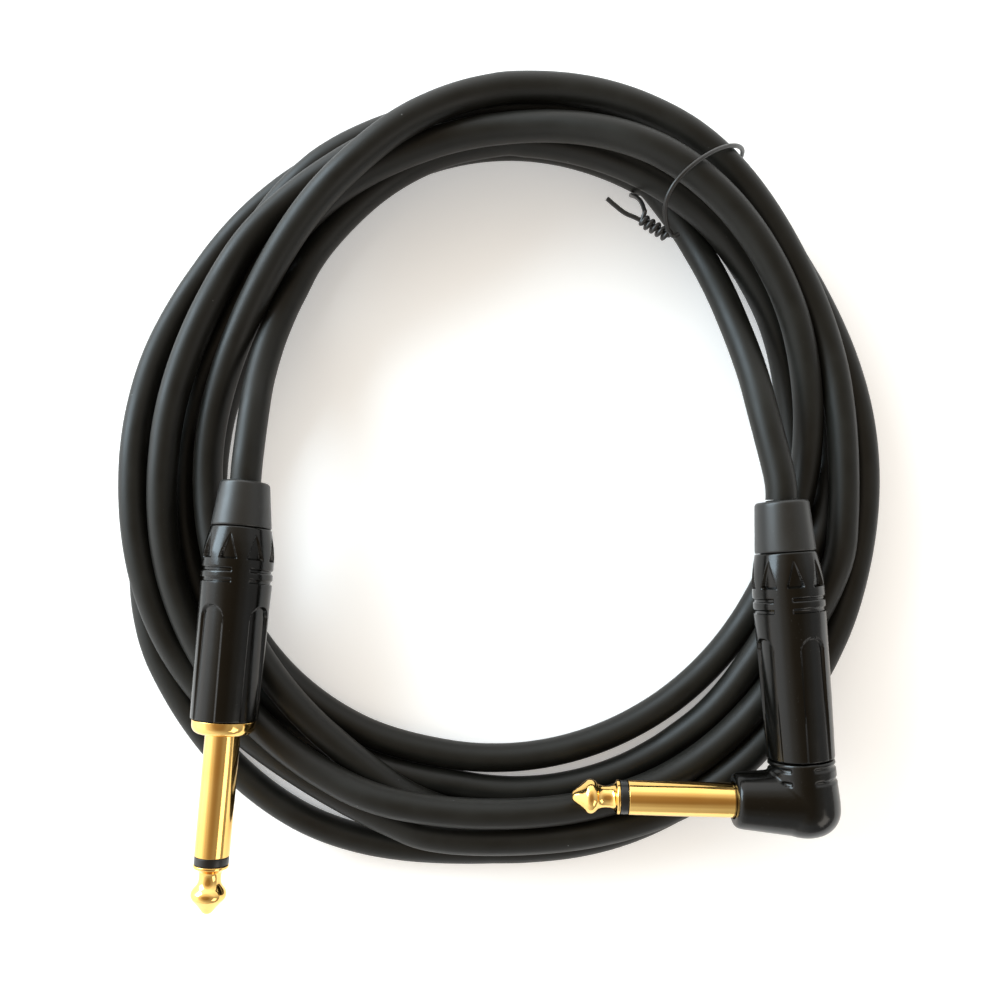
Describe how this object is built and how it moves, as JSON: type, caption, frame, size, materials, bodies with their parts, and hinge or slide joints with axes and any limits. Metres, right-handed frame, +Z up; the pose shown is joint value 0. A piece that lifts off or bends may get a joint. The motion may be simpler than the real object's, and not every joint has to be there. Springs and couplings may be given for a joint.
{
  "type": "instrument cable",
  "caption": "Coiled instrument lead with a straight and a right-angle 6.35 mm jack plug, black rubber jacket, gold contacts and a wire tie.",
  "frame": {"origin": "middle of the bounding box's bottom face, on the surface the coil lies on", "axes": "+Z up, the coil lies flat in XY, both plug barrels run roughly along Y with their contact ends towards -Y, straight plug at -X"},
  "size_m": [0.1499, 0.1561, 0.0275],
  "materials": {
    "black_metal": "satin-gloss black plated metal",
    "gold_plate": "polished gold plate",
    "black_plastic": "moulded black plastic",
    "pale_plastic": "moulded off-white insulator",
    "jacket_rubber": "matte black flexible jacket with fine dust",
    "tinned_metal": "tinned sheet metal",
    "copper_braid": "gathered copper shield strands",
    "tie_plastic": "plastic-coated wire"
  },
  "bodies": {
    "root": {"straight_tip_contact": "gold_plate", "straight_insulating_ring": "black_plastic", "straight_insulating_tube": "pale_plastic", "straight_sleeve_contact": "gold_plate", "straight_rear_insulator": "pale_plastic", "straight_tip_lug": "tinned_metal", "straight_ground_tab": "tinned_metal", "straight_liner": "pale_plastic", "straight_shell": "black_metal", "straight_cable_end": "jacket_rubber", "straight_core_wire": "black_plastic", "straight_shield_braid": "copper_braid", "elbow_tip_contact": "gold_plate", "elbow_insulating_ring": "black_plastic", "elbow_insulating_tube": "pale_plastic", "elbow_sleeve_contact": "gold_plate", "elbow_head": "black_metal", "elbow_rear_insulator": "pale_plastic", "elbow_tip_lug": "tinned_metal", "elbow_ground_tab": "tinned_metal", "elbow_liner": "pale_plastic", "elbow_shell": "black_metal", "elbow_cable_end": "jacket_rubber", "elbow_core_wire": "black_plastic", "elbow_shield_braid": "copper_braid", "cable_coil": "jacket_rubber", "straight_lead": "jacket_rubber", "elbow_lead": "jacket_rubber", "wire_tie": "tie_plastic"},
    "straight_chuck": {"straight_chuck": "black_plastic"},
    "straight_nut": {"straight_boot_nut": "black_metal"},
    "elbow_chuck": {"elbow_chuck": "black_plastic"},
    "elbow_nut": {"elbow_boot_nut": "black_metal"}
  },
  "joints": [
    {"name": "straight_nut_travel", "type": "slide", "parent": "root", "child": "straight_chuck", "axis": [0.0694, 0.9975, -0.0157], "range_m": [0, 0.003]},
    {"name": "straight_nut_turn", "type": "hinge", "parent": "straight_chuck", "child": "straight_nut", "pos_m": [-0.0467, -0.0017, 0.017], "axis": [0.0694, 0.9975, -0.0157], "range_deg": [0, 1080]},
    {"name": "elbow_nut_travel", "type": "slide", "parent": "root", "child": "elbow_chuck", "axis": [-0.0708, 0.9967, 0.0391], "range_m": [0, 0.003]},
    {"name": "elbow_nut_turn", "type": "hinge", "parent": "elbow_chuck", "child": "elbow_nut", "pos_m": [0.0501, -0.0056, 0.0184], "axis": [-0.0708, 0.9967, 0.0391], "range_deg": [0, 1080]}
  ],
  "couplings": [
    {"joint": "straight_nut_turn", "follows": "straight_nut_travel", "rad_per_m": 6283.2},
    {"joint": "elbow_nut_turn", "follows": "elbow_nut_travel", "rad_per_m": 6283.2}
  ]
}
